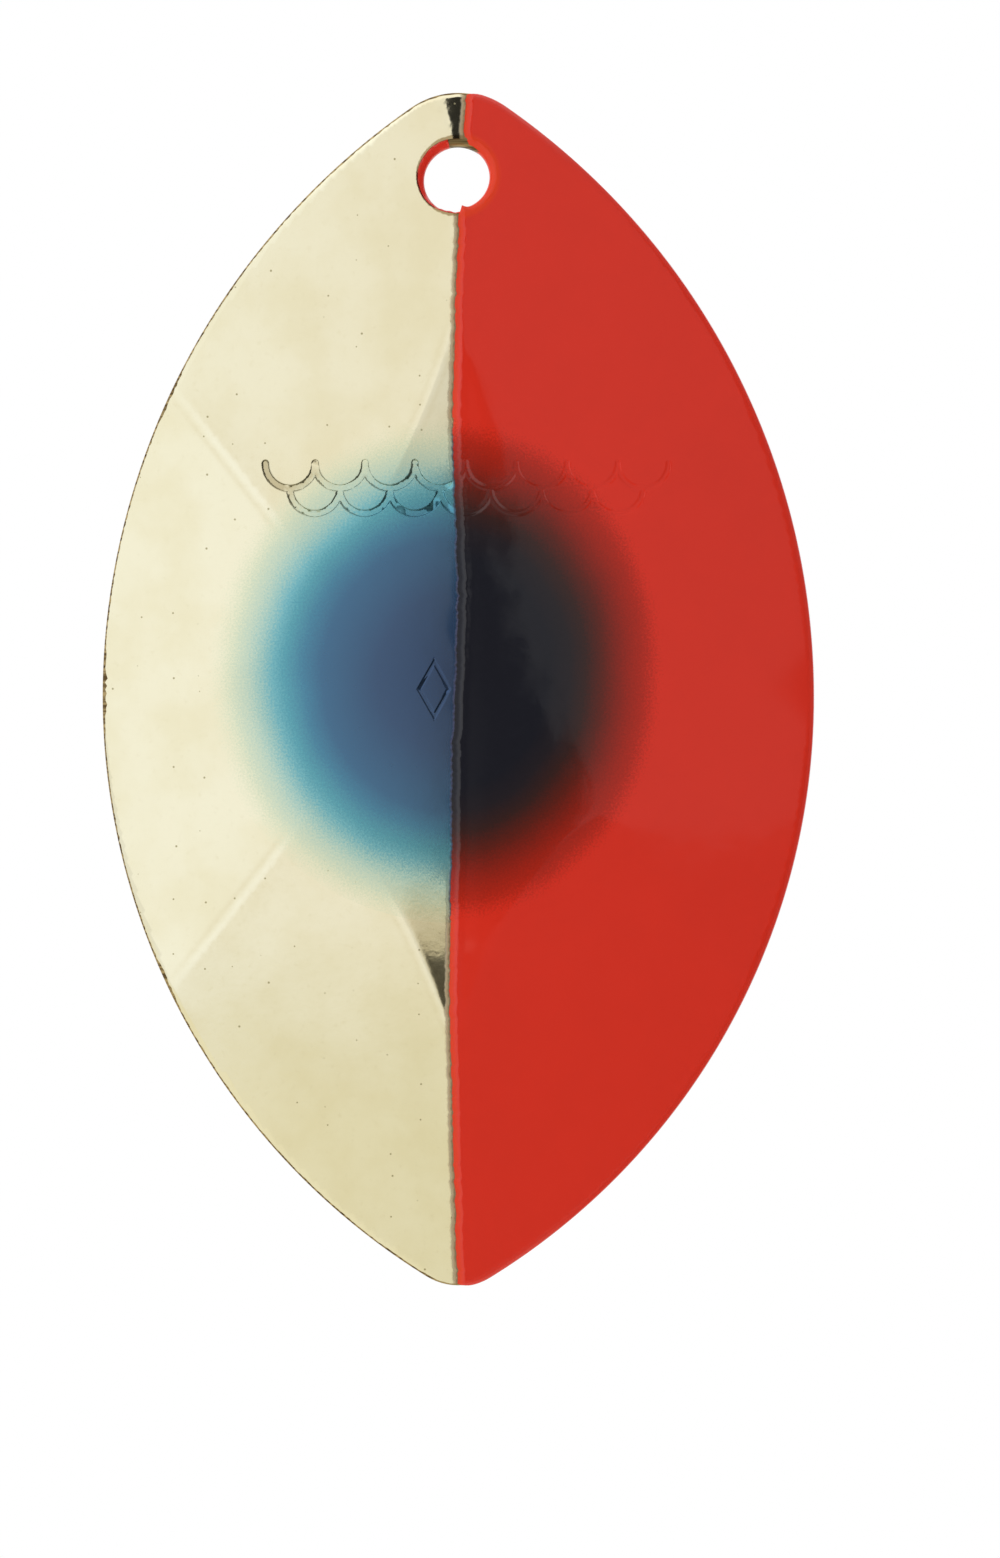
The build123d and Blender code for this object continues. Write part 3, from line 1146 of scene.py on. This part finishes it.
def enamel():
    """The red film, turned over the rim and into the eye hole."""
    shell = Shell()
    border, ways, over_rim, into_eye = enamel_border()
    front_row = with_height(border, enamel_top)
    seat = with_height(border, gold_top)
    film = 0.085
    rim_rows = ((0.45, 0.03), (0.8, 0.10), (1.0, 0.20), (1.0, 0.40), (0.85, 0.52),    # share out, mm down
                (0.3, 0.60), (0.0, 0.60), (0.0, 0.30), (0.0, 0.10))
    eye_rows = ((0.12, 0.02), (0.24, 0.08), (0.34, 0.17), (0.41, 0.30), (0.43, 0.55),   # mm in, mm down
                (0.38, 0.74), (0.30, 0.80), (0.26, 0.40), (0.10, 0.16))
    angle = np.arctan2(border[:, 1], border[:, 0])
    swell = 1 + 0.45 * hill(angle, math.radians(-80), math.radians(9))     # a drop hangs at the line

    keep_clear = inside_blade(0.02, 0.04)

    def allowed(x, z, margin):
        return keep_clear(x, z, margin) & (x - line_x(z) > 0.02 + margin)

    start_front = shell.add_sheet([border], [], lattice("fine", allowed), enamel_top,
                                  heights=front_row[:, 1])
    start_back = shell.add_sheet([border], [], lattice("plain", allowed), gold_top, back=True,
                                 heights=seat[:, 1])
    turned = (over_rim > 0) | (into_eye > 0)
    rows = []
    for (out_share, down), (in_distance, deep) in zip(rim_rows, eye_rows):
        row = seat.copy()
        row[turned, 1] = front_row[turned, 1]
        tuck = into_eye * in_distance * (swell if in_distance > 0.33 else 1.0)
        shift = over_rim * out_share * film + tuck
        row[:, 0] += ways[:, 0] * shift
        row[:, 1] += over_rim * down + into_eye * deep
        row[:, 2] += ways[:, 1] * shift - into_eye * deep * math.tan(eye_lean)
        rows.append(row)
    shell.add_wall(start_front, rows, start_back, len(border))
    add_eye_sleeve(shell)
    return write_piece("red_enamel_film", shell, "red_enamel", [red_enamel()], attributes)


def sprayed_spot():
    """The sprayed film over both halves."""
    shell = Shell()
    count = 360
    angle = np.arange(count) * 2 * math.pi / count
    circle = np.c_[spot_radius * np.cos(angle), spot_radius * np.sin(angle) - spot_below_eye]
    line = line_points(-spot_below_eye - spot_radius + 0.05, -spot_below_eye + spot_radius - 0.05, 0.08)

    def allowed(x, z, margin):
        clear = spot_distance(x, z) < spot_radius - 0.05 - margin
        return clear & (np.abs(x - line_x(z)) > 0.02 + margin)

    start_front = shell.add_sheet([circle], [line], lattice("fine", allowed), spot_top)
    start_back = shell.add_sheet([circle], [line], lattice("plain", allowed), spot_bottom, back=True)
    shell.bridge(start_front, start_back, count)
    piece = write_piece("sprayed_spot", shell, "spot_lacquer",
                        [lacquer_on_gold(), lacquer_on_enamel()], attributes)
    mesh = piece.data
    centres = np.array([polygon.center for polygon in mesh.polygons])
    over_enamel = centres[:, 0] / MM > line_x(centres[:, 2] / MM)
    mesh.polygons.foreach_set("material_index", over_enamel.astype(np.int32))
    return piece


stamped_blank()
plating("gold_plating_front", "plating_front", gold_top, blank_front,
        plating_inset, mouth_radius)
plating("gold_plating_back", "plating_back", sheet_back, plated_back,
        back_plating_inset, eye_radius + 0.06, is_back=True)
enamel()
sprayed_spot()


# === studio ===
WHITE = (1.0, 1.0, 1.0, 1.0)
COOL_LIGHT = (1.0, 1.035, 1.10, 1.0)
WARM_LIGHT = (1.0, 0.99, 0.88, 1.0)
STAND_LIGHT = (1.0, 0.93, 0.76, 1.0)


def studio_world():
    """A white tent, bright to the left and above, dim to the right, with the dark shape of the camera
    and its stand in front of the blade. White to the camera itself.

    across and upward are slopes of a direction in front of the blade, to the right and up. The noises
    fray the edges of what is reflected there, as the small waves in the plating do.
    """
    world = bpy.data.worlds.new("white_tent")
    bpy.context.scene.world = world
    world.use_nodes = True
    nodes = Nodes(world.node_tree)
    output = nodes.add("ShaderNodeOutputWorld")
    way = nodes.add("ShaderNodeTexCoord").outputs["Generated"]
    x, y, z = nodes.axes(way)
    ahead = nodes.math("MAXIMUM", nodes.multiply(y, -1.0), 0.05)
    across = nodes.math("DIVIDE", x, ahead)
    upward = nodes.math("DIVIDE", z, ahead)
    facing = nodes.step(y, -0.4, -0.1, 1.0, 0.0)
    shake = nodes.math("SUBTRACT", nodes.noise(way, 42.0, 5.0, 0.75), 0.5)
    frayed = nodes.math("SUBTRACT", nodes.noise(way, 160.0, 4.0, 0.7), 0.5)
    tattered = nodes.math("MULTIPLY_ADD", frayed, 0.14, across)
    jagged = nodes.math("MULTIPLY_ADD", frayed, 0.16, nodes.math("MULTIPLY_ADD", shake, 0.30, across))

    def band(value, low, high, soft):
        """1 between two edges, which may be numbers or sockets."""
        past_low, past_high = (nodes.math("SUBTRACT", value, edge) for edge in (low, high))
        return nodes.multiply(nodes.step(past_low, -soft, soft), nodes.step(past_high, -soft, soft, 1.0, 0.0))

    def patch(place, left, right, low, high, soft, level):
        """Dims what lies between four edges in front of the blade to level, and returns the factor."""
        inside = nodes.multiply(band(place, left, right, soft), band(upward, low, high, soft))
        inside = nodes.multiply(inside, facing)
        return nodes.step(inside, 0.0, 1.0, 1.0, level)

    right_side = nodes.multiply(nodes.step(across, -0.03, 0.03), facing)
    level = nodes.step(right_side, 0.0, 1.0, 1.0, 0.40)
    level = nodes.multiply(level, nodes.step(x, -0.60, -0.30, 1.09, 1.0))
    far_right = nodes.multiply(x, nodes.step(y, 0.2, 0.5, 1.0, 0.0))
    level = nodes.multiply(level, nodes.step(far_right, 0.52, 0.62, 1.0, 0.3))
    level = nodes.math("ADD", level, nodes.step(z, 0.55, 0.80, 0.0, 0.2))
    level = nodes.multiply(level, nodes.step(upward, -0.44, -0.30, 0.89, 1.0))
    camera_side = nodes.math("ADD", nodes.step(upward, -0.11, 0.10, 0.235, 0.06),
                             nodes.step(upward, 0.20, 0.32, 0.0, 0.15))
    camera = nodes.multiply(band(across, -0.050, 2.0, 0.006), band(jagged, -2.0, camera_side, 0.003))
    camera = nodes.multiply(camera, nodes.multiply(band(upward, -0.22, 0.41, 0.006), facing))
    level = nodes.multiply(level, nodes.step(camera, 0.0, 1.0, 1.0, 0.12))
    for dim in (
            (tattered, -0.20, 0.06, 0.465, 0.95, 0.006, 0.03),      # lamp head at the top
            (tattered, -0.15, 0.01, -0.75, -0.230, 0.005, 0.14),    # stand below
            (across, -0.17, 0.03, -0.75, -0.170, 0.050, 0.74),      # the dimmer part of the tent round it
            (across, 0.0, 3.00, -0.75, -0.205, 0.010, 0.45),        # table edge
            (across, -0.22, -0.02, 0.16, 0.34, 0.050, 0.84),        # the photographer's shoulders
            (across, -0.24, -0.02, -0.34, -0.19, 0.050, 0.86)):
        level = nodes.multiply(level, patch(*dim))
    tint = nodes.mix(nodes.step(x, -0.56, -0.28), COOL_LIGHT, WHITE)
    tint = nodes.mix(nodes.step(z, -0.40, -0.27), WARM_LIGHT, tint)
    low_middle = nodes.multiply(band(across, -0.17, 0.03, 0.050), nodes.step(upward, -0.23, -0.15, 1.0, 0.0))
    tint = nodes.mix(nodes.multiply(low_middle, facing), tint, STAND_LIGHT)

    tent = nodes.fill(nodes.add("ShaderNodeBackground"), {0: tint, 1: level}).outputs[0]
    plain = nodes.fill(nodes.add("ShaderNodeBackground"), {0: WHITE}).outputs[0]
    seen = nodes.add("ShaderNodeLightPath").outputs["Is Camera Ray"]
    mixed = nodes.fill(nodes.add("ShaderNodeMixShader"), {0: seen, 1: tent, 2: plain}).outputs[0]
    nodes.put(output.inputs[0], mixed)


def studio_floor():
    """A plain pale floor well below the blade."""
    reach = 0.7
    level = blank_low.z - 0.065
    mesh = bpy.data.meshes.new("studio_floor")
    corners = [(x * reach, y * reach, level) for x, y in ((-1, -1), (1, -1), (1, 1), (-1, 1))]
    mesh.from_pydata(corners, [], [(0, 1, 2, 3)])
    floor = put_in_scene("studio_floor", mesh)
    material, nodes, shader = new_material("floor_paper")
    nodes.fill(shader, {"Base Color": (0.86, 0.86, 0.85, 1.0), "Roughness": 0.8})
    mesh.materials.append(material)
    floor.visible_glossy = False


def studio_camera():
    """A long lens in front of the blade, a little to its right."""
    distance = 1.0
    turn = math.radians(2.7)
    seen_height = 0.0835
    target = Vector((0.0023, 0.0, -0.0321))
    data = bpy.data.cameras.new("camera")
    data.sensor_fit = "VERTICAL"
    data.sensor_height = 36.0
    data.lens = 36.0 * distance / seen_height
    data.clip_start = 0.01
    camera = put_in_scene("camera", data)
    camera.location = target + Vector((math.sin(turn) * distance, -math.cos(turn) * distance, 0.0))
    camera.rotation_euler = (math.pi / 2, 0.0, turn)
    bpy.context.scene.camera = camera


studio_world()
studio_floor()
studio_camera()
bpy.context.scene.view_settings.view_transform = "Standard"
